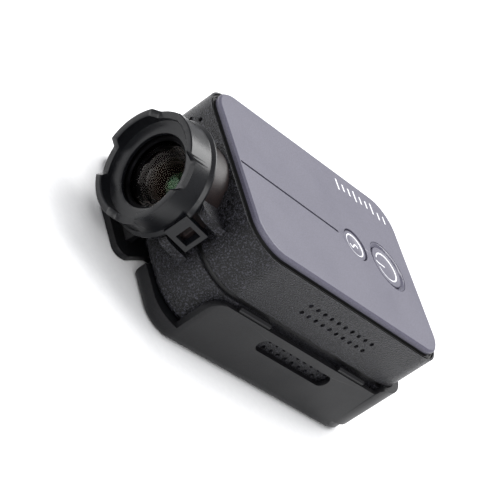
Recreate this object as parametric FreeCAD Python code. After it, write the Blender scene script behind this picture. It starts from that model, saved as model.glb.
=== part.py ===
"""Pocket wide-angle camera in its clip-on cradle.

Millimetres, +Z up. The lens looks along -Y and the sound holes are on the +X side.
The origin is the mouth of the tripod thread, in the middle of the cradle's flat base.
"""
import FreeCAD, Part
import math
import os

V = FreeCAD.Vector

# ---- camera body -------------------------------------------------------------------------
BODY_W = 38.0
BODY_L = 56.3
BODY_H = 20.8
CORNER_R = 6.9
WALL = 1.5
ROOF_T = 1.2
SHELL_FLOOR_T = 1.2
PLATE_T = 1.0
PLATE_INSET = 1.05
PLATE_BEVEL = 0.35
PLATE_GAP = 0.35
CHANNEL_RIM = 0.35
CHANNEL_DEPTH = 0.75
CHANNEL_INNER = 1.45
SEAL_BED = 0.35
SEAL_INNER = 2.6
BEAD_INSET = 0.66
BEAD_W = 0.16
UPPER_H = 9.35
SEAM_T = 0.9
SEAM_INSET = 0.55
EDGE_ROUND = 0.3
BELLY_ROUND = 0.9
SNAP_H = 1.2
SNAP_DEPTH = 0.8
SNAP_FRONT = 17.2
SNAP_TAIL = 7.0

# ---- cradle ------------------------------------------------------------------------------
CRADLE_FLOOR = 3.3
SEAT_GAP = 0.2
SIDE_GAP = 0.2
CRADLE_WALL = 1.0
FRONT_LEAD = 0.7
REAR_LEAD = 1.6
CRADLE_ROUND = 1.9
CRADLE_FRONT_R = 5.4
REAR_STEP = 0.8
REAR_STEP_H = 2.5
WALL_RISE = 8.5
BOW = 3.4
BOW_ROUND = 3.0
LIP_RISE = 9.35
LIP_FRONT = (8.8, 17.2)
LIP_TAIL = (18.8, 11.1)
LIP_EASE = 0.25
LIP_SLOPE = 0.35
POST_L = 6.7
POST_RISE = 10.3
POST_ROUND = 1.2
REAR_GATE_W = 29.6
SLOT_FRONT = 18.5
SLOT_TAIL = 17.7
SLOT_H = 2.9
SLOT_RISE = 5.38
SLOT_ROUND = 1.4

# ---- release tab and tripod insert ---------------------------------------------------------
TAB_T = 1.2
TAB_REACH = 4.0
TAB_HALF_W = 6.2
TAB_NECK_HALF_W = 3.3
TAB_NECK_END = 4.0
TAB_SHOULDER = 1.9
TAB_ROOT = 5.2
TAB_GAP_HALF_W = 8.3
TAB_CORNER_R = 1.8
TAB_LIFT = 0.1
TAB_SIDE_GAP = 0.3
CATCH_HALF_W = 2.5
CATCH_T = 1.4
CATCH_TIP_T = 0.6
CATCH_BITE = 0.8
INSERT_R = 4.4
INSERT_GROOVE = 0.4
THREAD_R = 2.6

# ---- lens, its housing and the hood ------------------------------------------------------
LENS_X = 0.0
LENS_DROP = 10.5
BARREL_R = 8.8
BARREL_WALL = 1.2
BARREL_REACH = 6.05
BARREL_EDGE = 0.3
NECK_STEP = 0.5
FLANGE_T = 1.2
FLANGE_HALF = 7.7
FLANGE_STEP = 1.2
LENS_THREAD_STEP = 1.35
LENS_REAR = 7.6
LENS_HEAD_GAP = 0.25
LENS_HEAD_REAR = 4.1
LENS_HEAD_FRONT = 7.45
LENS_BORE_STEP = 0.8
LENS_HEAD_RIM = 1.05
GLASS_SEAT = 6.05
GLASS_EDGE_T = 0.9
GLASS_HOLLOW_RIM = 1.4
GLASS_HOLLOW_SAG = 1.3
DOME_SAG = 1.75
SECOND_STEP = 2.8
SECOND_SEAT = 2.6
SECOND_T = 0.6
SECOND_SAG = 1.2
STOP_T = 0.4
PUPIL_R = 1.0
REAR_GLASS_SEAT = 6.0
REAR_GLASS_T = 1.0
REAR_GLASS_SAG = 0.6
BAFFLE_STEPS = ((0.8, 0.0), (1.1, 0.35), (1.6, 0.35), (1.8, 0.95), (2.5, 0.95), (2.75, 1.65))
RETAINER_T = 0.3
RETAINER_LAP = 0.5
HOOD_STANDOFF = 1.15
HOOD_FLARE = 0.5
HOOD_WALL = 1.2
HOOD_FRONT = 11.4
HOOD_REAR = 5.2
HOOD_SLEEVE_GAP = 0.25
HOOD_LIP = 7.95
HOOD_LIP_T = 0.65
HOOD_CONE = 0.3
HOOD_APERTURE_GAP = 0.35
HOOD_EDGE = 0.18
HOOD_SKIRT = 1.05
HOOD_BEAD = 0.5
CRENEL_DEPTH = 1.55
CRENEL_GAP_W = 6.7
CRENEL_SLOPE = 0.95
CRENEL_ROUND = 0.45
CLIP_W = 4.7
CLIP_T = 1.0
CLIP_FRONT = 6.1
CLIP_ARM = 4.6
CLIP_LEAN = 1.85
CLIP_FACE = 0.45
WINDOW_HALF_W = 1.5
WINDOW = (1.3, 3.7)
LATCH_H = 1.45
LATCH_HALF_W = 1.15
LATCH_FRONT = 4.1
LATCH_CREST = 2.8
LATCH_REAR = 2.2
RIB_T = 1.5
RIB_OFFSET = 4.1
RIB_REACH = 4.7
RIB_TIP = 1.5
RIB_ROOT = 3.75
RIB_ROUND = 2.2
PAD_X = 5.4
PAD_DROP = 2.9
PAD_STEPS = ((0.0, 0.0), (2.9, 0.0), (2.9, -0.9), (3.8, -0.9), (3.8, -1.9), (4.6, -1.9), (4.6, -3.3), (0.0, -3.3))
PAD_T = 0.5
PAD_SLOTS = ((7.6, 3.45), (8.5, 4.4), (9.3, 5.35))
PAD_SLOT_W = 0.45
PAD_SLOT_L = 0.8

# ---- buttons, light bar and holes --------------------------------------------------------
POWER_X = 0.85
POWER_TAIL = 10.7
POWER_R = 4.25
POWER_BEZEL_W = 0.85
MODE_X = 0.9
MODE_TAIL = 21.1
MODE_R = 3.15
KEY_GAP = 0.1
KEY_TRAVEL = 0.4
KEY_SINK = 0.2
KEY_SKIRT = 0.7
KEY_DISH = 0.3
KEY_EDGE = 0.12
STEM_R = 1.4
SWITCH_X = 2.2
SWITCH_Y = 1.6
SWITCH_T = 0.8
PLUNGER_R = 0.9
PLUNGER_T = 0.4
KEY_BOARD_DROP = 1.45
KEY_BOARD_T = 0.8
KEY_BOARD_HALF_W = 6.0
KEY_BOARD_LEAD = 5.5
KEY_BOARD_TAIL = 4.1
HANGER_R = 1.2
HANGER_LEAD = 3.9
LIGHT_START_X = -0.15
LIGHT_START_Y = 1.6
LIGHT_END_X = 0.66
LIGHT_TAIL = 26.5
LIGHT_W = 0.5
LIGHT_SINK = 0.25
CHIP_W = 1.6
CHIP_T = 0.3
HOLE_R = 0.43
HOLE_PITCH = 2.04
HOLE_COLUMNS = 10
HOLE_ROW = 2.0
HOLES_SHIFT = 0.43
SOUND_DROP = 4.6
VENT_DROP = 14.66
VENT_ROW = 1.66
MIC_R = 0.42
MIC_PLACES = ((7.4, 4.0), (5.9, 5.75))
MIC_SIZE = (1.5, 1.0, 1.8)
MIC_SETBACK = 0.5

# ---- screws and their bosses ---------------------------------------------------------------
SCREW_R = 0.8
SCREW_BITE = 0.15
SCREW_CLEAR = 0.1
SCREW_TIP = 4.0
SCREW_HEAD_R = 1.4
SCREW_HEAD_T = 1.0
SCREW_SINK = 0.1
CROSS_L = 0.9
CROSS_HALF_W = 0.2
CROSS_DEPTH = 0.5
BOSS_R = 1.6
BOSS_INSET = 3.1
BOSS_LEAD = 0.4

# ---- what the body holds -----------------------------------------------------------------
RUN_GAP = 0.05
CELL_W = 27.0
CELL_FRONT = 17.2
CELL_GAP = 0.2
CELL_ROUND = 1.2
CAP_ROUND = 0.6
DOOR_W = 28.8
SLIDE_GAP = 0.2
PULL_HALF_W = 5.0
PULL_PITCH = 1.5
PULL_GROOVE = 0.7
PULL_DEPTH = 0.5
CONTACT_T = 1.4
CONTACT_HALF_W = 7.0
CONTACT_LIFT = 2.0
BOARD_T = 1.0
BOARD_GAP = 0.8
BOARD_FRONT = 16.5
BOARD_INSET = 1.0
BOARD_REAR_GAP = 0.6
BOARD_FOOT_LEAD = 18.5
BOARD_FOOT_TAIL = 12.3
BOARD_FOOT = 2.0
SENSOR_BOARD = 15.4
SENSOR_BOARD_Y = 9.8
HOLDER_W = 14.0
HOLDER_ROOM = 10.8
HOLDER_ROOM_L = 2.0
FILTER_HALF = 4.0
FILTER_T = 0.3
SENSOR_HALF = 4.4
SENSOR_T = 1.2
RIBBON_HALF_W = 4.0
RIBBON_T = 0.2
RIBBON_LIFT = 0.3
PROCESSOR_X = (-9.0, 3.0)
PROCESSOR_LEAD = 18.0
PROCESSOR_TAIL = 24.3
PROCESSOR_T = 1.3
MEMORY_X = (5.0, 12.0)
MEMORY_TAIL = (28.3, 19.3)
MEMORY_T = 1.0
SPREADER_LAP = 1.0
SPREADER_T = 0.8
ANTENNA_GAP = 0.6
ANTENNA_T = 0.8
ANTENNA_Y = (20.0, 34.0)
ANTENNA_Z = (1.0, 5.4)
SPEAKER_T = 2.6
SPEAKER_HALF_L = 10.4
SPEAKER_HALF_H = 2.4
SPEAKER_GAP = 0.1
SPEAKER_ROUND = 1.0
USB_X = 8.8
USB_W = 7.6
USB_H = 2.7
USB_L = 5.4
USB_SINK = 0.3
USB_SKIN = 0.3
USB_SLOPE = 0.9
USB_TONGUE = (1.4, 1.9)
USB_TONGUE_INSET = 1.6
PORT_GAP = 0.3
CARD_X = -6.0
CARD_W = 11.0
CARD_L = 15.0
CARD_T = 1.0
CARD_PROUD = 0.6
CARD_LIFT = 0.8
CARD_NOTCH = 1.6
CARD_ROUND = 0.5
SOCKET_H = 2.2
SOCKET_WALL = 0.6
SOCKET_SIDE = 1.0
SOCKET_GAP = 0.15

# ---- levels and planes that follow from the sizes above -----------------------------------
FRONT = -(BODY_L + REAR_LEAD - FRONT_LEAD) / 2
REAR = FRONT + BODY_L
BELLY = CRADLE_FLOOR + SEAT_GAP
TOP = BELLY + BODY_H
PLATE_Z = TOP - PLATE_T
ROOF_Z = PLATE_Z - PLATE_GAP
SEAM_TOP = ROOF_Z - UPPER_H
SEAM_Z = SEAM_TOP - SEAM_T
LENS_Z = TOP - LENS_DROP
BOARD_Z = SEAM_TOP + BOARD_GAP
BAY_Z = BELLY + SHELL_FLOOR_T
HALF_W = BODY_W / 2
OUT_X = HALF_W + SIDE_GAP + CRADLE_WALL
IN_X = HALF_W + SIDE_GAP
BAY_X = HALF_W - WALL
KEY_BOARD_Z = ROOF_Z - ROOF_T - KEY_BOARD_DROP
BOARD_TOP = BOARD_Z + BOARD_T
BEZEL_R = POWER_R + KEY_GAP + POWER_BEZEL_W
BARREL_BORE_R = BARREL_R - BARREL_WALL
NECK_R = BARREL_R - NECK_STEP
LENS_HEAD_R = BARREL_BORE_R - LENS_HEAD_GAP
LENS_THREAD_R = LENS_HEAD_R - LENS_THREAD_STEP
GLASS_R = LENS_HEAD_R - LENS_HEAD_RIM
GLASS_HOLLOW_R = GLASS_R - GLASS_HOLLOW_RIM
SECOND_R = GLASS_R - SECOND_STEP
LENS_BORE_R = SECOND_R - LENS_BORE_STEP
REAR_GLASS_R = LENS_BORE_R - RUN_GAP
HOOD_R = BARREL_R + HOOD_STANDOFF
HOOD_FLARE_R = HOOD_R + HOOD_FLARE
HOOD_APERTURE_R = GLASS_R + HOOD_APERTURE_GAP
WALL_TOP = BELLY + WALL_RISE
LIP_TOP = BELLY + LIP_RISE
LIP_REAR = (BODY_L - LIP_TAIL[0], BODY_L - LIP_TAIL[1])
POST_TOP = BELLY + POST_RISE
SLOT_Z = BELLY + SLOT_RISE
POWER_Y = BODY_L - POWER_TAIL
MODE_Y = BODY_L - MODE_TAIL
LIGHT_END_Y = BODY_L - LIGHT_TAIL
HOLES_START = (BODY_L - (HOLE_COLUMNS - 1) * HOLE_PITCH) / 2 + HOLES_SHIFT
PROCESSOR = (*PROCESSOR_X, PROCESSOR_LEAD, BODY_L - PROCESSOR_TAIL)
MEMORY = (*MEMORY_X, BODY_L - MEMORY_TAIL[0], BODY_L - MEMORY_TAIL[1])
OVER = 1.0


# ---- helpers -----------------------------------------------------------------------------
def outline(corners, place):
    """Closed wire through (a, b, radius) corners; the radius rounds its corner with an arc."""
    runs = []
    count = len(corners)
    for i in range(count):
        here = V(corners[i][0], corners[i][1], 0)
        before = V(corners[i - 1][0], corners[i - 1][1], 0)
        after = V(corners[(i + 1) % count][0], corners[(i + 1) % count][1], 0)
        radius = corners[i][2] if len(corners[i]) > 2 else 0
        if radius == 0:
            runs.append((here, here, here))
            continue
        back = (before - here).normalize()
        ahead = (after - here).normalize()
        half = back.getAngle(ahead) / 2
        start = here + back * (radius / math.tan(half))
        end = here + ahead * (radius / math.tan(half))
        inward = (back + ahead).normalize()
        middle = here + inward * (radius / math.sin(half) - radius)
        runs.append((start, middle, end))
    edges = []
    for i in range(count):
        start, middle, end = runs[i]
        if start.distanceToPoint(end) > 1e-6:
            edges.append(Part.Arc(place(start), place(middle), place(end)).toShape())
        following = runs[(i + 1) % count][0]
        if end.distanceToPoint(following) > 1e-6:
            edges.append(Part.makeLine(place(end), place(following)))
    return Part.Wire(edges)


def prism_x(corners, x0, x1):
    """Outline of (y, z, radius) corners, pushed from x0 to x1."""
    wire = outline(corners, lambda p: V(x0, p.x, p.y))
    return Part.Face(wire).extrude(V(x1 - x0, 0, 0))


def prism_y(corners, y0, y1):
    """Outline of (x, z, radius) corners, pushed from y0 to y1."""
    wire = outline(corners, lambda p: V(p.x, y0, p.y))
    return Part.Face(wire).extrude(V(0, y1 - y0, 0))


def prism_z(corners, z0, z1):
    """Outline of (x, y, radius) corners, pushed from z0 to z1."""
    wire = outline(corners, lambda p: V(p.x, p.y, z0))
    return Part.Face(wire).extrude(V(0, 0, z1 - z0))


def box(x0, x1, y0, y1, z0, z1):
    return Part.makeBox(x1 - x0, y1 - y0, z1 - z0, V(x0, y0, z0))


def slab(half_w, y0, y1, z0, z1, front_radius, rear_radius):
    """Upright slab with rounded vertical edges, centred on x = 0."""
    corners = [(-half_w, y0, front_radius), (half_w, y0, front_radius), (half_w, y1, rear_radius),
               (-half_w, y1, rear_radius)]
    return prism_z(corners, z0, z1)


def body_slab(inset, z0, z1):
    """Slab with the camera body's plan, drawn in by an inset (or let out by a negative one)."""
    return slab(HALF_W - inset, FRONT + inset, REAR - inset, z0, z1, CORNER_R - inset, CORNER_R - inset)


def rod_x(y, z, radius, x0, x1):
    return Part.makeCylinder(radius, x1 - x0, V(x0, y, z), V(1, 0, 0))


def rod_y(x, z, radius, y0, y1):
    return Part.makeCylinder(radius, y1 - y0, V(x, y0, z), V(0, 1, 0))


def rod_z(x, y, radius, z0, z1):
    return Part.makeCylinder(radius, z1 - z0, V(x, y, z0), V(0, 0, 1))


def lens_rod(radius, y0, y1):
    return rod_y(LENS_X, LENS_Z, radius, y0, y1)


def turned(profile):
    """Solid of revolution about the lens axis from (radius, y) points."""
    points = [V(LENS_X + radius, y, LENS_Z) for radius, y in profile]
    wire = Part.makePolygon(points + points[:1])
    return Part.Face(wire).revolve(V(LENS_X, 0, LENS_Z), V(0, 1, 0), 360)


def turned_z(profile, x, y):
    """Solid of revolution about an upright axis from (radius, z) points."""
    points = [V(x + radius, y, z) for radius, z in profile]
    wire = Part.makePolygon(points + points[:1])
    return Part.Face(wire).revolve(V(x, y, 0), V(0, 0, 1), 360)


def edges_at(shape, z):
    """Edges that lie wholly at one height."""
    found = []
    for edge in shape.Edges:
        bounds = edge.BoundBox
        if abs(bounds.ZMin - z) < 1e-4 and abs(bounds.ZMax - z) < 1e-4:
            found.append(edge)
    return found


def mirrored(shape):
    """The same shape on the other side of the middle plane."""
    return shape.mirror(V(0, 0, 0), V(1, 0, 0))


def boss_places():
    """Centres of the four screw bosses in the corners of the body."""
    reach = HALF_W - BOSS_INSET
    return [(x, y) for x in (-reach, reach) for y in (FRONT + CORNER_R - BOSS_LEAD, REAR - CORNER_R + BOSS_LEAD)]


def hole_rows(drop, row_step, z_top):
    """Two rows of round holes through the +X wall."""
    holes = []
    for row in range(2):
        for column in range(HOLE_COLUMNS):
            y = FRONT + HOLES_START + column * HOLE_PITCH
            z = z_top - drop - row * row_step
            holes.append(rod_x(y, z, HOLE_R, BAY_X - OVER, HALF_W + OVER))
    return holes


def light_strip(width, y0, y1, z0, z1):
    """Thin strip along the line from above the lens to the mode button, given its two ends."""
    slope = (LIGHT_END_X - LIGHT_START_X) / (LIGHT_END_Y - LIGHT_START_Y)
    x0 = LIGHT_START_X + slope * (y0 - LIGHT_START_Y)
    x1 = LIGHT_START_X + slope * (y1 - LIGHT_START_Y)
    half = width / 2
    corners = [(x0 - half, FRONT + y0), (x0 + half, FRONT + y0), (x1 + half, FRONT + y1), (x1 - half, FRONT + y1)]
    return prism_z(corners, z0, z1)


# ---- cradle ------------------------------------------------------------------------------
def wall_side_outline():
    """Side view of the cradle's walls: rounded bow, a drop between the two lips, the rear post."""
    bow = FRONT + BOW
    post = REAR - POST_L
    end = REAR + REAR_LEAD + OVER
    corners = [(bow, CRADLE_FLOOR - OVER), (bow, WALL_TOP, BOW_ROUND), (post, WALL_TOP, POST_ROUND / 2)]
    corners += [(post, POST_TOP, POST_ROUND), (end, POST_TOP), (end, CRADLE_FLOOR - OVER)]
    return corners


def cradle_lip(y0, y1):
    """Sloped lip that stands on a side wall and covers the seam."""
    corners = [(IN_X, WALL_TOP - OVER), (OUT_X - LIP_EASE, WALL_TOP - OVER), (OUT_X - LIP_EASE, LIP_TOP - LIP_SLOPE)]
    corners += [(OUT_X - LIP_EASE - LIP_SLOPE, LIP_TOP), (IN_X, LIP_TOP)]
    return prism_y(corners, FRONT + y0, FRONT + y1)


def cradle():
    front = FRONT - FRONT_LEAD
    rear = REAR + REAR_LEAD
    outer_r = CORNER_R + SIDE_GAP + CRADLE_WALL
    tray = slab(OUT_X, front, rear, 0, POST_TOP + OVER, CRADLE_FRONT_R, outer_r)
    tray = tray.makeFillet(CRADLE_ROUND, edges_at(tray, 0))
    stepped = slab(OUT_X, front, rear - REAR_STEP, -OVER, REAR_STEP_H, outer_r, outer_r)
    tray = tray.cut(box(-OUT_X, OUT_X, 0, rear + OVER, -OVER, REAR_STEP_H).cut(stepped))
    inner_r = CORNER_R + SIDE_GAP
    pocket = slab(IN_X, front - OVER, REAR + SIDE_GAP, CRADLE_FLOOR, POST_TOP + 2 * OVER, inner_r, inner_r)
    pocket = pocket.common(box(-OUT_X, OUT_X, FRONT - SIDE_GAP, rear, 0, TOP))
    walls = tray.cut(pocket).common(prism_x(wall_side_outline(), -OUT_X - OVER, OUT_X + OVER))
    floor = tray.common(box(-OUT_X - OVER, OUT_X + OVER, front - OVER, rear + OVER, 0, CRADLE_FLOOR))
    body = floor.fuse(walls)
    gate_x = REAR_GATE_W / 2
    gate = box(-gate_x, gate_x, REAR - 2 * OVER, rear + OVER, CRADLE_FLOOR, POST_TOP + OVER)
    y0 = FRONT + SLOT_FRONT
    y1 = REAR - SLOT_TAIL
    z0 = SLOT_Z - SLOT_H / 2
    z1 = SLOT_Z + SLOT_H / 2
    slot_corners = [(y0, z0, SLOT_ROUND), (y1, z0, SLOT_ROUND), (y1, z1, SLOT_ROUND), (y0, z1, SLOT_ROUND)]
    slot = prism_x(slot_corners, -OUT_X - OVER, OUT_X + OVER)
    body = body.cut([gate, slot, tab_opening(), rod_z(0, 0, INSERT_R + RUN_GAP, -OVER, CRADLE_FLOOR + OVER)])
    lips = [cradle_lip(*LIP_FRONT), cradle_lip(*LIP_REAR)]
    return body.fuse(lips + [mirrored(lip) for lip in lips]).removeSplitter()


def tab_plan():
    """Plan of the release tab: a narrow neck at its root, then a wide rounded tongue."""
    front = FRONT - TAB_REACH - FRONT_LEAD
    root = FRONT + TAB_ROOT
    neck_end = FRONT + TAB_NECK_END
    shoulder = FRONT - TAB_SHOULDER
    right = [(TAB_HALF_W, front, TAB_CORNER_R), (TAB_HALF_W, shoulder), (TAB_NECK_HALF_W, neck_end)]
    right.append((TAB_NECK_HALF_W, root))
    corners = [(LENS_X + corner[0], *corner[1:]) for corner in right]
    return corners + [(LENS_X - corner[0], *corner[1:]) for corner in reversed(right)]


def tab_knuckle(gap):
    """Round root of the release tab, let out by a gap."""
    middle = TAB_LIFT + TAB_T / 2
    half = TAB_NECK_HALF_W + (TAB_SIDE_GAP if gap else 0)
    return rod_x(FRONT + TAB_ROOT, middle, TAB_T / 2 + gap, LENS_X - half, LENS_X + half)


def tab_opening():
    """Cut-out in the cradle's floor that frees the release tab."""
    front = FRONT - FRONT_LEAD - OVER
    root = FRONT + TAB_ROOT
    neck = TAB_NECK_HALF_W + TAB_SIDE_GAP
    right = [(TAB_GAP_HALF_W, front), (TAB_GAP_HALF_W, FRONT), (neck, root - TAB_SIDE_GAP), (neck, root)]
    corners = [(LENS_X + x, y) for x, y in right] + [(LENS_X - x, y) for x, y in reversed(right)]
    return prism_z(corners, -OVER, CRADLE_FLOOR + OVER).fuse(tab_knuckle(RUN_GAP))


def release_tab():
    plate = prism_z(tab_plan(), TAB_LIFT, TAB_LIFT + TAB_T)
    low = TAB_LIFT + TAB_T - SIDE_GAP
    high = BELLY + CATCH_BITE
    back = FRONT - SIDE_GAP - TAB_LIFT
    catch_corners = [(back - CATCH_T, low), (back, low), (back, high, EDGE_ROUND / 2)]
    catch_corners.append((back - CATCH_TIP_T, high, EDGE_ROUND))
    catch = prism_x(catch_corners, LENS_X - CATCH_HALF_W, LENS_X + CATCH_HALF_W)
    return plate.fuse([tab_knuckle(0), catch]).removeSplitter()


def tripod_insert():
    insert = rod_z(0, 0, INSERT_R, 0, CRADLE_FLOOR)
    groove = rod_z(0, 0, INSERT_R + OVER, CRADLE_FLOOR * 0.4, CRADLE_FLOOR * 0.6)
    groove = groove.cut(rod_z(0, 0, INSERT_R - INSERT_GROOVE, 0, CRADLE_FLOOR))
    return insert.cut([rod_z(0, 0, THREAD_R, -OVER, CRADLE_FLOOR + OVER), groove])


# ---- casing ------------------------------------------------------------------------------
def rib(z):
    """Rounded gusset beside the hood's clip, from the front face out along the barrel."""
    inner = LENS_X + NECK_R - 2 * WALL
    tip = LENS_X + BARREL_R + RIB_TIP
    back = FRONT + WALL / 2
    corners = [(inner, FRONT - RIB_REACH), (tip, FRONT - RIB_REACH, RIB_ROUND), (LENS_X + BARREL_R + RIB_ROOT, back)]
    corners.append((inner, back))
    return prism_z(corners, z - RIB_T / 2, z + RIB_T / 2)


def step_pad():
    """Low stepped pad on the front face above the upper rib, with three short slots in a stair."""
    corners = [(LENS_X + PAD_X + x, TOP - PAD_DROP + z) for x, z in PAD_STEPS]
    pad = prism_y(corners, FRONT - PAD_T, FRONT + PAD_T)
    slots = []
    for x, drop in PAD_SLOTS:
        slots.append(box(x - PAD_SLOT_L / 2, x + PAD_SLOT_L / 2, FRONT - OVER, FRONT,
                         TOP - drop - PAD_SLOT_W / 2, TOP - drop + PAD_SLOT_W / 2))
    return pad.cut(slots)


def upper_shell():
    shell = body_slab(0, SEAM_TOP, ROOF_Z)
    shell = shell.makeFillet(EDGE_ROUND, edges_at(shell, SEAM_TOP))
    channel = body_slab(CHANNEL_RIM, ROOF_Z - CHANNEL_DEPTH, ROOF_Z + OVER)
    channel = channel.cut(body_slab(CHANNEL_INNER, ROOF_Z - OVER, ROOF_Z + 2 * OVER))
    shell = shell.cut([body_slab(WALL, SEAM_TOP - OVER, ROOF_Z - ROOF_T), channel])
    bosses = [rod_z(x, y, BOSS_R, SEAM_TOP, ROOF_Z - ROOF_T) for x, y in boss_places()]
    hanger_ys = (MODE_Y - HANGER_LEAD, (MODE_Y + POWER_Y) / 2)
    hangers = [rod_z(MODE_X, FRONT + y, HANGER_R, KEY_BOARD_Z, ROOF_Z - ROOF_T) for y in hanger_ys]
    barrel = lens_rod(BARREL_R + RUN_GAP, FRONT - BARREL_REACH, FRONT)
    inside = body_slab(WALL, SEAM_TOP - OVER, ROOF_Z)
    details = rib(LENS_Z + RIB_OFFSET).fuse(step_pad()).cut([barrel, inside])
    shell = shell.fuse(bosses + hangers + [details])
    cuts = [lens_rod(NECK_R + RUN_GAP, FRONT - OVER, FRONT + WALL + OVER)]
    cuts += hole_rows(SOUND_DROP, HOLE_ROW, TOP)
    cuts += [rod_z(x, y, SCREW_R - SCREW_BITE, SEAM_TOP - OVER, SEAM_TOP + SCREW_TIP + OVER)
             for x, y in boss_places()]
    for x, y in ((POWER_X, POWER_Y), (MODE_X, MODE_Y)):
        cuts.append(rod_z(x, FRONT + y, STEM_R + PORT_GAP, ROOF_Z - ROOF_T - OVER, ROOF_Z + OVER))
    for inset, drop in MIC_PLACES:
        cuts.append(rod_y(-HALF_W + inset, TOP - drop, MIC_R, FRONT - OVER, FRONT + 2 * WALL))
    half = USB_W / 2 + PORT_GAP
    cuts.append(box(USB_X - half, USB_X + half, REAR - WALL - OVER, REAR + OVER,
                    BOARD_TOP - PORT_GAP / 2, BOARD_TOP + USB_H + PORT_GAP))
    half = CARD_W / 2 + PORT_GAP
    card_z = BOARD_TOP + CARD_LIFT
    cuts.append(box(CARD_X - half, CARD_X + half, REAR - WALL - OVER, REAR + OVER,
                    card_z - PORT_GAP, card_z + CARD_T + PORT_GAP))
    return shell.cut(cuts).removeSplitter()


def snap_recess():
    """Long recess under the seam on one side, where the cradle's lips spring in."""
    return box(HALF_W - SNAP_DEPTH, HALF_W + OVER, FRONT + SNAP_FRONT, REAR - SNAP_TAIL,
               SEAM_Z - SNAP_H, SEAM_Z + OVER)


def lower_shell():
    shell = body_slab(0, BELLY, SEAM_Z)
    shell = shell.makeFillet(BELLY_ROUND, edges_at(shell, BELLY))
    shell = shell.makeFillet(EDGE_ROUND, edges_at(shell, SEAM_Z))
    inside = body_slab(WALL, BAY_Z, SEAM_Z + OVER)
    shell = shell.cut(inside)
    bosses = [rod_z(x, y, BOSS_R, BAY_Z, SEAM_Z) for x, y in boss_places()]
    barrel = lens_rod(BARREL_R + RUN_GAP, FRONT - BARREL_REACH, FRONT)
    shell = shell.fuse(bosses + [rib(LENS_Z - RIB_OFFSET).cut([barrel, inside])])
    cuts = [lens_rod(NECK_R + RUN_GAP, FRONT - OVER, FRONT + WALL + OVER)]
    cuts += hole_rows(VENT_DROP, VENT_ROW, TOP)
    cuts += [snap_recess(), mirrored(snap_recess())]
    cuts.append(box(-DOOR_W / 2, DOOR_W / 2, REAR - WALL - OVER, REAR + OVER, BAY_Z, SEAM_Z + OVER))
    for x, y in boss_places():
        cuts.append(rod_z(x, y, SCREW_R + SCREW_CLEAR, BELLY - OVER, SEAM_Z + OVER))
        cuts.append(rod_z(x, y, SCREW_HEAD_R + SCREW_BITE, BELLY - OVER, BELLY + SCREW_HEAD_T + 2 * SCREW_SINK))
    return shell.cut(cuts).removeSplitter()


def seam_chassis():
    """Dark middle plate: its edge shows in the groove between the two shells."""
    plate = body_slab(SNAP_DEPTH + RUN_GAP, SEAM_Z, SEAM_TOP)
    half = max(NECK_R, SENSOR_BOARD / 2) + SEAM_INSET
    room = box(LENS_X - half, LENS_X + half, FRONT - OVER, FRONT + BOARD_FRONT - WALL, SEAM_Z - OVER, SEAM_TOP + OVER)
    holes = [rod_z(x, y, SCREW_R + SCREW_CLEAR, SEAM_Z - OVER, SEAM_TOP + OVER) for x, y in boss_places()]
    return plate.cut([room] + holes)


def top_seal():
    """Dark seal in the channel round the top plate: a bed with a thin bead, and the ring the plate lies on."""
    low = ROOF_Z - CHANNEL_DEPTH
    bed_top = low + SEAL_BED
    ring = body_slab(PLATE_INSET + SIDE_GAP, ROOF_Z, PLATE_Z)
    foot = body_slab(PLATE_INSET + SIDE_GAP, low, PLATE_Z).cut(body_slab(CHANNEL_INNER - RUN_GAP, low, PLATE_Z))
    bed = body_slab(CHANNEL_RIM + RUN_GAP, low, bed_top).cut(body_slab(CHANNEL_INNER - RUN_GAP, low, bed_top))
    bead = body_slab(BEAD_INSET, low, ROOF_Z - RUN_GAP).cut(body_slab(BEAD_INSET + BEAD_W, low, ROOF_Z))
    ring = ring.cut(body_slab(SEAL_INNER, ROOF_Z - OVER, PLATE_Z + OVER))
    return ring.fuse([foot, bed, bead]).removeSplitter()


def top_plate():
    plate = body_slab(PLATE_INSET, PLATE_Z, TOP)
    plate = plate.makeChamfer(PLATE_BEVEL, edges_at(plate, TOP))
    slit = light_strip(LIGHT_W, LIGHT_START_Y, LIGHT_END_Y, PLATE_Z - OVER, TOP + OVER)
    holes = [rod_z(POWER_X, FRONT + POWER_Y, BEZEL_R + RUN_GAP, PLATE_Z - OVER, TOP + OVER)]
    holes.append(rod_z(MODE_X, FRONT + MODE_Y, MODE_R + 2 * KEY_GAP, PLATE_Z - OVER, TOP + OVER))
    return plate.cut([slit] + holes)


def light_bar():
    return light_strip(LIGHT_W - 2 * RUN_GAP, LIGHT_START_Y + RUN_GAP, LIGHT_END_Y - RUN_GAP,
                       PLATE_Z, TOP - LIGHT_SINK)


def status_light():
    half = CHIP_W / 2
    x = LIGHT_END_X
    y = FRONT + LIGHT_END_Y - CHIP_W
    return box(x - half, x + half, y - half, y + half, ROOF_Z, ROOF_Z + CHIP_T)


def case_screws():
    screws = []
    for x, y in boss_places():
        z = BELLY + SCREW_SINK
        shank = rod_z(x, y, SCREW_R, z + SCREW_HEAD_T, SEAM_TOP)
        tip = rod_z(x, y, SCREW_R - SCREW_BITE - RUN_GAP, SEAM_TOP, SEAM_TOP + SCREW_TIP)
        head = rod_z(x, y, SCREW_HEAD_R, z, z + SCREW_HEAD_T)
        cross = box(x - CROSS_L, x + CROSS_L, y - CROSS_HALF_W, y + CROSS_HALF_W, BELLY, z + CROSS_DEPTH)
        arm = box(x - CROSS_HALF_W, x + CROSS_HALF_W, y - CROSS_L, y + CROSS_L, BELLY, z + CROSS_DEPTH)
        screws.append(shank.fuse([tip, head]).cut([cross, arm]))
    return Part.makeCompound(screws)


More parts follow.
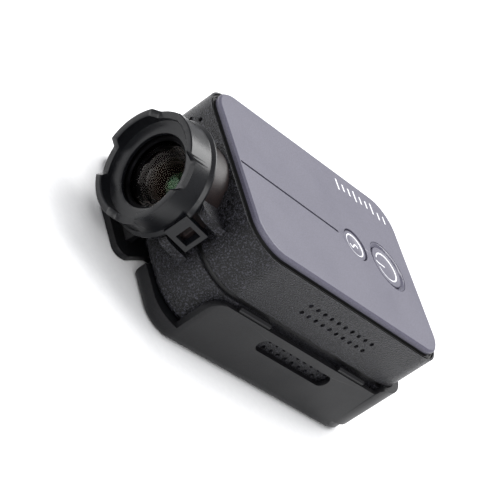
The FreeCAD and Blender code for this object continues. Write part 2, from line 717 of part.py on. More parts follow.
# ---- buttons -----------------------------------------------------------------------------
def key_cap(x, y, radius):
    """Button cap with a shallow dished top and a stem down through the roof."""
    top = TOP - KEY_SINK
    stem_end = KEY_BOARD_Z + SWITCH_T + PLUNGER_T + KEY_TRAVEL + RUN_GAP
    profile = [(0, top - KEY_DISH), (radius * 0.55, top - KEY_DISH * 0.7), (radius - 3 * KEY_EDGE, top)]
    profile += [(radius - KEY_EDGE, top), (radius, top - KEY_EDGE), (radius, top - KEY_SKIRT)]
    profile += [(STEM_R, top - KEY_SKIRT), (STEM_R, stem_end), (0, stem_end)]
    return turned_z(profile, x, FRONT + y)


def power_button():
    return key_cap(POWER_X, POWER_Y, POWER_R)


def mode_button():
    return key_cap(MODE_X, MODE_Y, MODE_R)


def power_bezel():
    """Dished ring round the power button."""
    inner = POWER_R + KEY_GAP
    crest = TOP - RUN_GAP
    profile = [(inner, ROOF_Z), (BEZEL_R, ROOF_Z), (BEZEL_R, crest), (BEZEL_R - 2 * KEY_GAP, crest)]
    profile += [(inner + KEY_GAP, crest - KEY_TRAVEL), (inner, crest - KEY_TRAVEL - KEY_GAP)]
    return turned_z(profile, POWER_X, FRONT + POWER_Y)


def switch(x, y):
    """Small tact switch under a button."""
    z = KEY_BOARD_Z
    body = box(x - SWITCH_X, x + SWITCH_X, FRONT + y - SWITCH_Y, FRONT + y + SWITCH_Y, z, z + SWITCH_T)
    return body.fuse(rod_z(x, FRONT + y, PLUNGER_R, z + SWITCH_T, z + SWITCH_T + PLUNGER_T))


def key_board():
    return box(-KEY_BOARD_HALF_W, KEY_BOARD_HALF_W, FRONT + MODE_Y - KEY_BOARD_LEAD,
               FRONT + POWER_Y + KEY_BOARD_TAIL, KEY_BOARD_Z - KEY_BOARD_T, KEY_BOARD_Z)


# ---- lens --------------------------------------------------------------------------------
def lens_housing():
    """Short barrel round the lens, with a square flange behind the front wall and the hood's latch."""
    mouth = FRONT - BARREL_REACH
    rear = FRONT + WALL + SIDE_GAP
    tube = turned([(BARREL_BORE_R, mouth), (BARREL_R - BARREL_EDGE, mouth), (BARREL_R, mouth + BARREL_EDGE),
                   (BARREL_R, FRONT), (NECK_R, FRONT), (NECK_R, rear), (BARREL_BORE_R, rear)])
    y0 = FRONT + WALL
    flange = box(LENS_X - NECK_R, LENS_X + NECK_R, y0, y0 + FLANGE_T, LENS_Z - FLANGE_HALF, LENS_Z + FLANGE_HALF)
    flange = flange.cut(lens_rod(BARREL_BORE_R - FLANGE_STEP, y0 - OVER, y0 + FLANGE_T + OVER))
    root = LENS_X + BARREL_R - WALL / 2
    crest = LENS_X + BARREL_R + LATCH_H
    latch_corners = [(root, FRONT - LATCH_FRONT), (crest, FRONT - LATCH_CREST), (crest, FRONT - LATCH_REAR)]
    latch_corners.append((root, FRONT - LATCH_REAR))
    latch = prism_z(latch_corners, LENS_Z - LATCH_HALF_W, LENS_Z + LATCH_HALF_W)
    return tube.fuse([flange, latch]).removeSplitter()


def lens_barrel():
    """Screw-in lens body: thread, wide head and the stepped bore for the glass."""
    head = FRONT - LENS_HEAD_FRONT
    shoulder = FRONT - LENS_HEAD_REAR
    seat = FRONT - GLASS_SEAT
    rear = FRONT + LENS_REAR
    stop = FRONT - SECOND_SEAT + STOP_T
    profile = [(LENS_THREAD_R, rear), (LENS_THREAD_R, shoulder), (LENS_HEAD_R, shoulder), (LENS_HEAD_R, head)]
    profile += [(GLASS_R + RUN_GAP, head), (GLASS_R + RUN_GAP, seat)]
    profile += [(GLASS_R - inset, seat + depth) for inset, depth in BAFFLE_STEPS]
    profile += [(SECOND_R + RUN_GAP, stop), (LENS_BORE_R, stop), (LENS_BORE_R, rear)]
    return turned(profile)


def dome_arc(radius, apex, sag):
    """Arc in a lens element's section, from the axis at its apex to its rim."""
    ball_r = (radius ** 2 + sag ** 2) / (2 * sag)
    turn = math.asin(radius / ball_r)
    points = [(ball_r * math.sin(k * turn / 2), apex + ball_r * (1 - math.cos(k * turn / 2))) for k in range(3)]
    start, middle, end = [V(LENS_X + r, y, LENS_Z) for r, y in points]
    return Part.Arc(start, middle, end).toShape(), start, end


def glass_disc(radius, rim_y, thick, sag, hollow_r=0, hollow_sag=0):
    """Lens element with a domed front that stands sag proud of its rim, flat or hollow behind."""
    front_arc, apex, rim_front = dome_arc(radius, rim_y - thick - sag, sag)
    rim_back = V(LENS_X + radius, rim_y, LENS_Z)
    edges = [front_arc, Part.makeLine(rim_front, rim_back)]
    centre = V(LENS_X, rim_y, LENS_Z)
    if hollow_r > 0:
        hollow_arc, centre, hollow_rim = dome_arc(hollow_r, rim_y - hollow_sag, hollow_sag)
        edges += [Part.makeLine(rim_back, hollow_rim), hollow_arc]
    else:
        edges.append(Part.makeLine(rim_back, centre))
    edges.append(Part.makeLine(centre, apex))
    section = Part.Face(Part.Wire(Part.sortEdges(edges)[0]))
    return section.revolve(V(LENS_X, 0, LENS_Z), V(0, 1, 0), 360)


def front_glass():
    """Domed outer element, hollow behind."""
    return glass_disc(GLASS_R, FRONT - GLASS_SEAT, GLASS_EDGE_T, DOME_SAG, GLASS_HOLLOW_R, GLASS_HOLLOW_SAG)


def second_glass():
    return glass_disc(SECOND_R, FRONT - SECOND_SEAT, SECOND_T, SECOND_SAG)


def lens_stop():
    """Black stop with the small pupil hole."""
    y0 = FRONT - SECOND_SEAT
    return lens_rod(SECOND_R, y0, y0 + STOP_T).cut(lens_rod(PUPIL_R, y0 - OVER, y0 + OVER))


def rear_glass():
    return glass_disc(REAR_GLASS_R, FRONT + REAR_GLASS_SEAT, REAR_GLASS_T, REAR_GLASS_SAG)


def lens_retainer():
    """Thin ring that holds the outer element in the lens head."""
    y1 = FRONT - LENS_HEAD_FRONT - RUN_GAP
    y0 = y1 - RETAINER_T
    outer = GLASS_R + RETAINER_LAP + RETAINER_T
    return turned([(GLASS_R - RETAINER_LAP, y1), (outer, y1), (outer, y0), (GLASS_R - RETAINER_LAP / 2, y0)])


def lens_holder():
    """Square holder for the screw-in lens, over the image sensor."""
    y0 = FRONT + WALL + FLANGE_T
    y1 = FRONT + SENSOR_BOARD_Y
    half = HOLDER_W / 2
    room = HOLDER_ROOM / 2
    block = box(LENS_X - half, LENS_X + half, y0, y1, LENS_Z - half, LENS_Z + half)
    hollow = box(LENS_X - room, LENS_X + room, y1 - HOLDER_ROOM_L, y1 + OVER, LENS_Z - room, LENS_Z + room)
    return block.cut([lens_rod(LENS_THREAD_R + RUN_GAP, y0 - OVER, y1 + OVER), hollow])


def lens_plate(half, y0, y1):
    """Square plate across the lens axis."""
    return box(LENS_X - half, LENS_X + half, y0, y1, LENS_Z - half, LENS_Z + half)


def infrared_filter():
    y1 = FRONT + SENSOR_BOARD_Y - SENSOR_T
    return lens_plate(FILTER_HALF, y1 - FILTER_T, y1)


def image_sensor():
    y1 = FRONT + SENSOR_BOARD_Y
    return lens_plate(SENSOR_HALF, y1 - SENSOR_T, y1)


def sensor_board():
    y0 = FRONT + SENSOR_BOARD_Y
    return lens_plate(SENSOR_BOARD / 2, y0, y0 + BOARD_T)


def sensor_ribbon():
    y0 = FRONT + SENSOR_BOARD_Y + BOARD_T
    z = BOARD_Z + RIBBON_LIFT
    return box(LENS_X - RIBBON_HALF_W, LENS_X + RIBBON_HALF_W, y0, FRONT + BOARD_FRONT, z, z + RIBBON_T)


# ---- hood --------------------------------------------------------------------------------
def lens_hood():
    """Push-on hood: crenellated rim, shallow dish round the aperture, flared skirt and a side clip."""
    front = FRONT - HOOD_FRONT
    rear = FRONT - HOOD_REAR
    inner = HOOD_R - HOOD_WALL
    sleeve = BARREL_R + HOOD_SLEEVE_GAP
    lip = FRONT - HOOD_LIP
    dish = lip - HOOD_LIP_T
    profile = [(inner + HOOD_EDGE, front), (HOOD_R - HOOD_EDGE, front), (HOOD_R, front + HOOD_EDGE)]
    profile += [(HOOD_R, rear - HOOD_SKIRT), (HOOD_FLARE_R, rear - HOOD_BEAD), (HOOD_FLARE_R, rear - HOOD_EDGE)]
    profile += [(HOOD_FLARE_R - HOOD_EDGE, rear), (sleeve, rear), (sleeve, lip), (HOOD_APERTURE_R, lip)]
    profile += [(HOOD_APERTURE_R, dish), (inner, dish - HOOD_CONE), (inner, front + HOOD_EDGE)]
    hood = turned(profile)
    half = CRENEL_GAP_W / 2
    slope = half - CRENEL_SLOPE
    low = front + CRENEL_DEPTH
    notch_corners = [(front - OVER, LENS_Z - half), (front - OVER, LENS_Z + half), (front, LENS_Z + half)]
    notch_corners += [(low, LENS_Z + slope, CRENEL_ROUND), (low, LENS_Z - slope, CRENEL_ROUND), (front, LENS_Z - half)]
    notch = prism_x(notch_corners, LENS_X + inner - 2 * HOOD_WALL, LENS_X + HOOD_R + OVER)
    cuts = []
    for quarter in range(4):
        cut = notch.copy()
        cut.rotate(V(LENS_X, 0, LENS_Z), V(0, 1, 0), 45 + 90 * quarter)
        cuts.append(cut)
    return hood.cut(cuts).fuse(hood_clip()).removeSplitter()


def hood_clip():
    """Clip arm that springs over the latch, flared so that a thumb can lift it, with a window."""
    y = FRONT - CLIP_FRONT
    face = LENS_X + HOOD_R + CLIP_FACE
    back = face - CLIP_T
    end = y + CLIP_ARM
    half = CLIP_W / 2
    corners = [(back - HOOD_SLEEVE_GAP, y), (face, y - CLIP_FACE), (face + CLIP_LEAN, end, HOOD_EDGE)]
    corners.append((back + CLIP_LEAN, end + EDGE_ROUND, HOOD_EDGE))
    clip = prism_z(corners, LENS_Z - half, LENS_Z + half)
    window = box(back - OVER, face + CLIP_LEAN + OVER, y + WINDOW[0], y + WINDOW[1],
                 LENS_Z - WINDOW_HALF_W, LENS_Z + WINDOW_HALF_W)
    return clip.cut(window)


# ---- boards and what is on them ------------------------------------------------------------
def main_board():
    half = BAY_X - BOARD_INSET
    rear = REAR - WALL - BOARD_REAR_GAP
    round_r = CORNER_R - WALL - EDGE_ROUND
    board = prism_z([(-half, FRONT + BOARD_FRONT), (half, FRONT + BOARD_FRONT), (half, rear, round_r),
                     (-half, rear, round_r)], BOARD_Z, BOARD_TOP)
    notches = [rod_z(x, y, BOSS_R + SIDE_GAP, BOARD_Z - OVER, BOARD_TOP + OVER) for x, y in boss_places()]
    reach = half - BOARD_FOOT
    feet = [box(x, x + BOARD_FOOT, FRONT + y, FRONT + y + BOARD_FOOT, SEAM_TOP, BOARD_Z)
            for x in (-half, reach) for y in (BOARD_FOOT_LEAD, BODY_L - BOARD_FOOT_TAIL)]
    return board.cut(notches).fuse(feet).removeSplitter()


def processor():
    x0, x1, y0, y1 = PROCESSOR
    return box(x0, x1, FRONT + y0, FRONT + y1, BOARD_TOP, BOARD_TOP + PROCESSOR_T)


def memory_chip():
    x0, x1, y0, y1 = MEMORY
    return box(x0, x1, FRONT + y0, FRONT + y1, BOARD_TOP, BOARD_TOP + MEMORY_T)


def heat_spreader():
    x0, x1, y0, y1 = PROCESSOR
    z = BOARD_TOP + PROCESSOR_T
    return box(x0 - SPREADER_LAP, x1 + SPREADER_LAP, FRONT + y0 - SPREADER_LAP, FRONT + y1 + SPREADER_LAP,
               z, z + SPREADER_T)


def antenna():
    x = -BAY_X + ANTENNA_GAP
    return box(x, x + ANTENNA_T, FRONT + ANTENNA_Y[0], FRONT + ANTENNA_Y[1],
               BOARD_TOP + ANTENNA_Z[0], BOARD_TOP + ANTENNA_Z[1])


def speaker():
    x1 = BAY_X - SPEAKER_GAP
    middle = FRONT + HOLES_START + (HOLE_COLUMNS - 1) * HOLE_PITCH / 2
    z = TOP - SOUND_DROP - HOLE_ROW / 2
    y0 = middle - SPEAKER_HALF_L
    y1 = middle + SPEAKER_HALF_L
    z0 = z - SPEAKER_HALF_H
    z1 = z + SPEAKER_HALF_H
    corners = [(y0, z0, SPEAKER_ROUND), (y1, z0, SPEAKER_ROUND), (y1, z1, SPEAKER_ROUND), (y0, z1, SPEAKER_ROUND)]
    return prism_x(corners, x1 - SPEAKER_T, x1)


def microphones():
    parts = []
    width, depth, height = MIC_SIZE
    y0 = FRONT + WALL + MIC_SETBACK
    for inset, drop in MIC_PLACES:
        x = -HALF_W + inset
        z = TOP - drop
        parts.append(box(x - width / 2, x + width / 2, y0, y0 + depth, z - height / 2, z + height / 2))
    return Part.makeCompound(parts)


def usb_outline(inset):
    """End view of the socket: flat top, sloped lower corners, drawn in by an inset."""
    half = USB_W / 2 - inset
    low = BOARD_TOP + inset
    high = BOARD_TOP + USB_H - inset
    slope = USB_SLOPE
    return [(USB_X - half, high), (USB_X + half, high), (USB_X + half, low + slope), (USB_X + half - slope, low),
            (USB_X - half + slope, low), (USB_X - half, low + slope)]


def usb_port():
    y1 = REAR - USB_SINK
    shell = prism_y(usb_outline(0), y1 - USB_L, y1)
    mouth = prism_y(usb_outline(USB_SKIN), y1 - USB_L + OVER, y1 + OVER)
    half = USB_W / 2 - USB_TONGUE_INSET
    tongue = box(USB_X - half, USB_X + half, y1 - USB_L + OVER / 2, y1 - OVER,
                 BOARD_TOP + USB_TONGUE[0], BOARD_TOP + USB_TONGUE[1])
    return shell.cut(mouth).fuse(tongue)


def card_socket():
    half = CARD_W / 2 + SOCKET_SIDE
    slot = CARD_W / 2 + SOCKET_GAP
    rear = REAR - WALL - SIDE_GAP
    shell = box(CARD_X - half, CARD_X + half, rear - CARD_L, rear, BOARD_TOP, BOARD_TOP + SOCKET_H)
    room = box(CARD_X - slot, CARD_X + slot, rear - CARD_L + SOCKET_WALL, rear + OVER,
               BOARD_TOP + SOCKET_WALL, BOARD_TOP + SOCKET_WALL + CARD_T + 2 * SIDE_GAP)
    return shell.cut(room)


def memory_card():
    z = BOARD_TOP + CARD_LIFT
    rear = REAR + CARD_PROUD
    front = rear - CARD_L
    left = CARD_X - CARD_W / 2
    right = CARD_X + CARD_W / 2
    corners = [(left, rear, CARD_ROUND), (left, front, CARD_ROUND), (right - CARD_NOTCH, front)]
    corners += [(right, front + CARD_NOTCH), (right, rear, CARD_ROUND)]
    return prism_z(corners, z, z + CARD_T)


# ---- battery -----------------------------------------------------------------------------
def bay_prism(half, z0, z1, radius, y0, y1):
    """Rounded bar along the battery bay."""
    return prism_y([(-half, z0, radius), (half, z0, radius), (half, z1, radius), (-half, z1, radius)], y0, y1)


def battery_cell():
    return bay_prism(CELL_W / 2, BAY_Z + CELL_GAP, SEAM_Z - 2 * CELL_GAP, CELL_ROUND,
                     FRONT + CELL_FRONT, REAR - WALL - 2 * RUN_GAP)


def battery_cap():
    """End cap that closes the battery bay, with a grooved finger pull."""
    cap = bay_prism(DOOR_W / 2 - SLIDE_GAP, BAY_Z + SLIDE_GAP, SEAM_Z - SLIDE_GAP, CAP_ROUND,
                    REAR - WALL - 2 * RUN_GAP, REAR)
    middle = (BAY_Z + SEAM_Z) / 2
    grooves = []
    for row in (-1, 0, 1):
        z = middle + row * PULL_PITCH
        grooves.append(box(-PULL_HALF_W, PULL_HALF_W, REAR - PULL_DEPTH, REAR + OVER,
                           z - PULL_GROOVE / 2, z + PULL_GROOVE / 2))
    return cap.cut(grooves)


def battery_contacts():
    y1 = FRONT + CELL_FRONT - 2 * RUN_GAP
    return box(-CONTACT_HALF_W, CONTACT_HALF_W, y1 - CONTACT_T, y1, BAY_Z + CONTACT_LIFT, SEAM_Z)


NODES = {
    "cradle": cradle,
    "release_tab": release_tab,
    "tripod_insert": tripod_insert,
    "top_plate": top_plate,
    "top_seal": top_seal,
    "upper_shell": upper_shell,
    "seam_chassis": seam_chassis,
    "lower_shell": lower_shell,
    "case_screws": case_screws,
    "light_bar": light_bar,
    "status_light": status_light,
    "power_button": power_button,
    "power_bezel": power_bezel,
    "mode_button": mode_button,
    "power_switch": lambda: switch(POWER_X, POWER_Y),
    "mode_switch": lambda: switch(MODE_X, MODE_Y),
    "key_board": key_board,
    "lens_housing": lens_housing,
    "lens_barrel": lens_barrel,
    "front_glass": front_glass,
    "second_glass": second_glass,
    "lens_stop": lens_stop,
    "rear_glass": rear_glass,
    "lens_retainer": lens_retainer,
    "lens_holder": lens_holder,
    "infrared_filter": infrared_filter,
    "image_sensor": image_sensor,
    "sensor_board": sensor_board,
    "sensor_ribbon": sensor_ribbon,
    "lens_hood": lens_hood,
    "main_board": main_board,
    "processor": processor,
    "memory_chip": memory_chip,
    "heat_spreader": heat_spreader,
    "antenna": antenna,
    "speaker": speaker,
    "microphones": microphones,
    "usb_port": usb_port,
    "card_socket": card_socket,
    "memory_card": memory_card,
    "battery_cell": battery_cell,
    "battery_cap": battery_cap,
    "battery_contacts": battery_contacts,
}

os.makedirs("parts", exist_ok=True)
for name, make in NODES.items():
    shape = make()
    if not shape.isValid() or not shape.Solids:
        raise ValueError("bad solid: " + name)
    shape.exportStep("parts/" + name + ".step")
    print(name, len(shape.Solids), round(shape.Volume, 2))
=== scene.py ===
"""Finishes for the pocket camera in its cradle: moulded and metal surfaces, printed marks and a studio."""

import math

import bmesh
import bpy
from bpy.props import FloatProperty, FloatVectorProperty, PointerProperty
from mathutils import Matrix, Vector


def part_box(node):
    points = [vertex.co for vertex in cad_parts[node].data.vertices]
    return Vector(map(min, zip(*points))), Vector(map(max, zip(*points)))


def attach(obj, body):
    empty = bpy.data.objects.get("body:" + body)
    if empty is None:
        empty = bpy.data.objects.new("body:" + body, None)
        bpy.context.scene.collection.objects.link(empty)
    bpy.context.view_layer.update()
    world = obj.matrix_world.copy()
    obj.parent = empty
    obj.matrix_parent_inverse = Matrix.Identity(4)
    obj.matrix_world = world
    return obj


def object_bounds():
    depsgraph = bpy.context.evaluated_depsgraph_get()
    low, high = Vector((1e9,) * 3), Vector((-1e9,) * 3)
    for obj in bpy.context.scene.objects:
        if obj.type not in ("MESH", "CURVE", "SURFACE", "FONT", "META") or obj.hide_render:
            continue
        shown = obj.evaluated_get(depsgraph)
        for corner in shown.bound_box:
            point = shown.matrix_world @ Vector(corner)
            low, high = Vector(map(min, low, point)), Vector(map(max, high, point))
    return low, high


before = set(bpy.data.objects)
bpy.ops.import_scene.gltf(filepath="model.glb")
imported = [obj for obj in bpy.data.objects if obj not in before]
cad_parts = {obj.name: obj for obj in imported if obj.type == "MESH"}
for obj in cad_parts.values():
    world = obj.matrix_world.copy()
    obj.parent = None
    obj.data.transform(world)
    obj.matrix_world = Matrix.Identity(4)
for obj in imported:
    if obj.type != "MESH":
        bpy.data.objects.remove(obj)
CAD_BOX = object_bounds()

bl_info = {
    "name": "Pocket camera finishes",
    "version": (1, 0, 0),
    "blender": (4, 5, 0),
    "location": "3D View > Sidebar > Pocket Camera",
    "description": "Moulded, metal, glass and printed finishes for a pocket camera in its cradle",
    "category": "Object",
}

MM = 0.001
INCH = 25.4 * MM

# Mesh clean-up: points closer than WELD_GAP are one, and edges sharper than SHARP_EDGE are rounded.
WELD_GAP = 0.0005 * MM
SHARP_EDGE = math.radians(32)

# Tripod thread, 20 turns to the inch.
TURNS_PER_INCH = 20
CREST_HEIGHT = 0.35 * MM
FLANK = 0.3
STEPS_PER_TURN = 48

# Printed marks: the ink's thickness, and how far it is lifted off a cap or the plate to lie clear of it.
INK_FILM = 0.02 * MM
CAP_DEPTH = 0.35 * MM
CAP_LIFT_MM = 0.008
PLATE_LIFT = 0.005 * MM

# Row of bars on the top plate, in millimetres.
BAR_COUNT = 9
BAR_PITCH = 1.9
SHORT_BAR_HALF = 0.9
LONG_BAR_HALF = 1.35
BARS_FROM_SIDE = 2.1
BARS_FROM_REAR = 18.6
BARS_MIDDLE = 1.6
LAST_BARS_SHIFT = 0.9

FLOOR_HALF = 3.0
FLOOR_GAP = 0.02 * MM


# ---- colour and node helpers ------------------------------------------------------------------
def linear(code):
    """sRGB hex code to a linear colour with alpha 1."""
    channels = []
    for start in (0, 2, 4):
        value = int(code[start:start + 2], 16) / 255
        channels.append(value / 12.92 if value <= 0.04045 else ((value + 0.055) / 1.055) ** 2.4)
    return (*channels, 1.0)


def add_node(material, kind, properties=None, inputs=None, stops=()):
    """Adds a node, sets its properties and ramp stops, then sets or links each named input."""
    tree = material.node_tree
    node = tree.nodes.new(kind)
    for name, value in (properties or {}).items():
        setattr(node, name, value)
    for element, (position, colour) in zip(node.color_ramp.elements if stops else (), stops):
        element.position = position
        element.color = colour
    for name, value in (inputs or {}).items():
        if isinstance(value, bpy.types.NodeSocket):
            tree.links.new(value, node.inputs[name])
        else:
            node.inputs[name].default_value = value
    return node


def new_material(name, **sockets):
    """Material with its Principled shader; uniform numbers go straight on the shader's sockets."""
    material = bpy.data.materials.new(name)
    material.use_nodes = True
    shader = material.node_tree.nodes["Principled BSDF"]
    for socket, value in sockets.items():
        shader.inputs[socket.replace("_", " ")].default_value = value
    return material, shader


def join(material, source, target):
    """Links one socket to another."""
    material.node_tree.links.new(source, target)


# ---- finishes ---------------------------------------------------------------------------------
def spark_eroded_abs_painted_sparkle(name, dark, light, grain_mm, depth_mm):
    """Black ABS from a spark-eroded steel tool, with part of its sparkle painted into the colour."""
    # The tool's pits come out as hard little facets: each one catches the light alone, so the skin sparkles
    # in soft light.
    # Part of the sparkle is painted: sparse flecks of the light tone in the colour, on a base that stays dark
    # between them.
    material, shader = new_material(name, IOR=1.53, Specular_IOR_Level=0.25)
    place = add_node(material, "ShaderNodeTexCoord").outputs["Object"]
    pits = add_node(material, "ShaderNodeTexVoronoi", {"feature": "F1"},
                    {"Vector": place, "Scale": 1 / (grain_mm * MM), "Randomness": 1.0})
    fine = add_node(material, "ShaderNodeTexNoise",
                    inputs={"Vector": place, "Scale": 1 / (0.5 * grain_mm * MM),
                            "Detail": 3.0, "Roughness": 0.6})
    tone = add_node(material, "ShaderNodeTexNoise",
                    inputs={"Vector": place, "Scale": 1 / (1.1 * grain_mm * MM),
                            "Detail": 2.0, "Roughness": 0.7})
    # Painted sparkle: the light tone on sparse flecks stands in for facets catching the light.
    colour = add_node(material, "ShaderNodeValToRGB", inputs={"Fac": tone.outputs["Fac"]},
                      stops=((0.5, dark), (0.68, light)))
    sheen = add_node(material, "ShaderNodeMapRange",
                     inputs={"Value": fine.outputs["Fac"], "From Min": 0.3, "From Max": 0.7,
                             "To Min": 0.16, "To Max": 0.5})
    facets = add_node(material, "ShaderNodeBump",
                      inputs={"Height": pits.outputs["Distance"], "Distance": depth_mm * MM})
    skin = add_node(material, "ShaderNodeBump",
                    inputs={"Height": fine.outputs["Fac"], "Distance": 0.5 * depth_mm * MM,
                            "Normal": facets.outputs["Normal"]})
    join(material, colour.outputs["Color"], shader.inputs["Base Color"])
    join(material, sheen.outputs["Result"], shader.inputs["Roughness"])
    join(material, skin.outputs["Normal"], shader.inputs["Normal"])
    return material


def moulded_abs(name, dark, light, grain_mm, depth_mm, roughness, specular=0.5):
    """ABS moulded in a lightly etched tool; also for the silicone, epoxy and film, which have a like skin."""
    # The etch gives an even, fine grain: a satin surface whose broad highlights fade softly at their edges,
    # with a slow drift in gloss where the plastic cooled last.
    material, shader = new_material(name, IOR=1.53, Specular_IOR_Level=specular)
    place = add_node(material, "ShaderNodeTexCoord").outputs["Object"]
    fine = add_node(material, "ShaderNodeTexNoise",
                    inputs={"Vector": place, "Scale": 1 / (grain_mm * MM), "Detail": 3.0, "Roughness": 0.62})
    broad = add_node(material, "ShaderNodeTexNoise",
                     inputs={"Vector": place, "Scale": 1 / (9.0 * MM), "Detail": 2.0})
    colour = add_node(material, "ShaderNodeValToRGB", inputs={"Fac": fine.outputs["Fac"]},
                      stops=((0.35, dark), (0.65, light)))
    gloss = add_node(material, "ShaderNodeMapRange",
                     inputs={"Value": broad.outputs["Fac"], "From Min": 0.3, "From Max": 0.7,
                             "To Min": roughness - 0.05, "To Max": roughness + 0.05})
    etch = add_node(material, "ShaderNodeBump",
                    inputs={"Height": fine.outputs["Fac"], "Distance": depth_mm * MM})
    join(material, colour.outputs["Color"], shader.inputs["Base Color"])
    join(material, gloss.outputs["Result"], shader.inputs["Roughness"])
    join(material, etch.outputs["Normal"], shader.inputs["Normal"])
    return material


def turned_metal(name, dark, light, roughness, groove_mm):
    """Metal turned or rolled, left bare or plated."""
    # The tool's fine rings stretch each highlight across them, and the tone drifts a little over the piece.
    material, shader = new_material(name, Metallic=1.0)
    place = add_node(material, "ShaderNodeTexCoord").outputs["Object"]
    along = add_node(material, "ShaderNodeMapping", inputs={"Vector": place, "Scale": (0.2, 0.2, 3.0)})
    rings = add_node(material, "ShaderNodeTexNoise",
                     inputs={"Vector": along.outputs["Vector"], "Scale": 1 / (groove_mm * MM), "Detail": 2.0})
    broad = add_node(material, "ShaderNodeTexNoise",
                     inputs={"Vector": place, "Scale": 1 / (2.5 * MM), "Detail": 2.0})
    colour = add_node(material, "ShaderNodeValToRGB", inputs={"Fac": broad.outputs["Fac"]},
                      stops=((0.35, dark), (0.65, light)))
    gloss = add_node(material, "ShaderNodeMapRange",
                     inputs={"Value": rings.outputs["Fac"], "From Min": 0.3, "From Max": 0.7,
                             "To Min": roughness - 0.07, "To Max": roughness + 0.07})
    grooves = add_node(material, "ShaderNodeBump",
                       inputs={"Height": rings.outputs["Fac"], "Distance": 0.006 * MM})
    join(material, colour.outputs["Color"], shader.inputs["Base Color"])
    join(material, gloss.outputs["Result"], shader.inputs["Roughness"])
    join(material, grooves.outputs["Normal"], shader.inputs["Normal"])
    return material


def blasted_anodised(name, dark, light):
    """Aluminium, bead blasted and then anodised black."""
    # Blasting scatters the highlights into a soft veil, and the dye leaves almost no light in them.
    material, shader = new_material(name, Metallic=1.0, Roughness=0.5)
    place = add_node(material, "ShaderNodeTexCoord").outputs["Object"]
    dye = add_node(material, "ShaderNodeTexNoise",
                   inputs={"Vector": place, "Scale": 1 / (2.0 * MM), "Detail": 2.0})
    colour = add_node(material, "ShaderNodeValToRGB", inputs={"Fac": dye.outputs["Fac"]},
                      stops=((0.35, dark), (0.65, light)))
    join(material, colour.outputs["Color"], shader.inputs["Base Color"])
    return material


def coated_glass(name, tint, coating, index):
    """Optical glass, ground and polished, with a vacuum-deposited antireflection coating."""
    # Polish gives sharp small reflections, and the coating leaves each of them in its own faint colour.
    # The coating also cuts how much comes back, so the index is set below that of the bare glass.
    material, shader = new_material(name, IOR=index, Transmission_Weight=1.0, Specular_Tint=coating)
    place = add_node(material, "ShaderNodeTexCoord").outputs["Object"]
    film = add_node(material, "ShaderNodeTexNoise",
                    inputs={"Vector": place, "Scale": 1 / (3.0 * MM), "Detail": 3.0})
    colour = add_node(material, "ShaderNodeValToRGB", inputs={"Fac": film.outputs["Fac"]},
                      stops=((0.2, tint), (0.8, linear("ffffff"))))
    smear = add_node(material, "ShaderNodeMapRange",
                     inputs={"Value": film.outputs["Fac"], "To Min": 0.01, "To Max": 0.03})
    join(material, colour.outputs["Color"], shader.inputs["Base Color"])
    join(material, smear.outputs["Result"], shader.inputs["Roughness"])
    return material


def pad_printed_ink(name, thin, thick):
    """Two-part ink, pad printed."""
    # The pad lifts the ink unevenly: a flat, pale film with faint thin spots.
    material, shader = new_material(name, IOR=1.5, Roughness=0.5)
    place = add_node(material, "ShaderNodeTexCoord").outputs["Object"]
    uneven = add_node(material, "ShaderNodeTexNoise",
                      inputs={"Vector": place, "Scale": 1 / (0.5 * MM), "Detail": 3.0})
    colour = add_node(material, "ShaderNodeValToRGB", inputs={"Fac": uneven.outputs["Fac"]},
                      stops=((0.25, thin), (0.5, thick)))
    relief = add_node(material, "ShaderNodeBump",
                      inputs={"Height": uneven.outputs["Fac"], "Distance": 0.004 * MM})
    join(material, colour.outputs["Color"], shader.inputs["Base Color"])
    join(material, relief.outputs["Normal"], shader.inputs["Normal"])
    return material


def solder_mask(name, track, field):
    """Printed circuit board under green solder mask."""
    # The copper lies under the mask, so its tracks show paler and stand a little proud.
    material, shader = new_material(name, IOR=1.5, Roughness=0.35)
    place = add_node(material, "ShaderNodeTexCoord").outputs["Object"]
    tracks = add_node(material, "ShaderNodeTexVoronoi", {"feature": "DISTANCE_TO_EDGE"},
                      {"Vector": place, "Scale": 1 / (1.6 * MM)})
    colour = add_node(material, "ShaderNodeValToRGB", inputs={"Fac": tracks.outputs["Distance"]},
                      stops=((0.06, track), (0.12, field)))
    relief = add_node(material, "ShaderNodeBump", {"invert": True},
                      {"Height": tracks.outputs["Distance"], "Distance": 0.02 * MM})
    join(material, colour.outputs["Color"], shader.inputs["Base Color"])
    join(material, relief.outputs["Normal"], shader.inputs["Normal"])
    return material


def pouch_foil(name, dark, light):
    """Aluminium foil laminated with nylon, cold formed into a pouch."""
    # Forming leaves soft creases, so the dull silver breaks into broad patches.
    material, shader = new_material(name, Roughness=0.38, Metallic=1.0)
    place = add_node(material, "ShaderNodeTexCoord").outputs["Object"]
    creases = add_node(material, "ShaderNodeTexNoise",
                       inputs={"Vector": place, "Scale": 1 / (3.5 * MM), "Detail": 4.0, "Roughness": 0.55})
    colour = add_node(material, "ShaderNodeValToRGB", inputs={"Fac": creases.outputs["Fac"]},
                      stops=((0.35, dark), (0.65, light)))
    relief = add_node(material, "ShaderNodeBump",
                      inputs={"Height": creases.outputs["Fac"], "Distance": 0.15 * MM})
    join(material, colour.outputs["Color"], shader.inputs["Base Color"])
    join(material, relief.outputs["Normal"], shader.inputs["Normal"])
    return material


def studio_paper(name, colour):
    """Matt background paper, calendered."""
    # Nearly even white with a barely visible fibre, and no highlight of its own.
    material, shader = new_material(name, IOR=1.4, Roughness=0.95)
    place = add_node(material, "ShaderNodeTexCoord").outputs["Object"]
    fibre = add_node(material, "ShaderNodeTexNoise",
                     inputs={"Vector": place, "Scale": 1 / (1.2 * MM), "Detail": 3.0})
    tone = add_node(material, "ShaderNodeValToRGB", inputs={"Fac": fibre.outputs["Fac"]},
                    stops=((0.0, colour), (1.0, linear("ffffff"))))
    join(material, tone.outputs["Color"], shader.inputs["Base Color"])
    return material


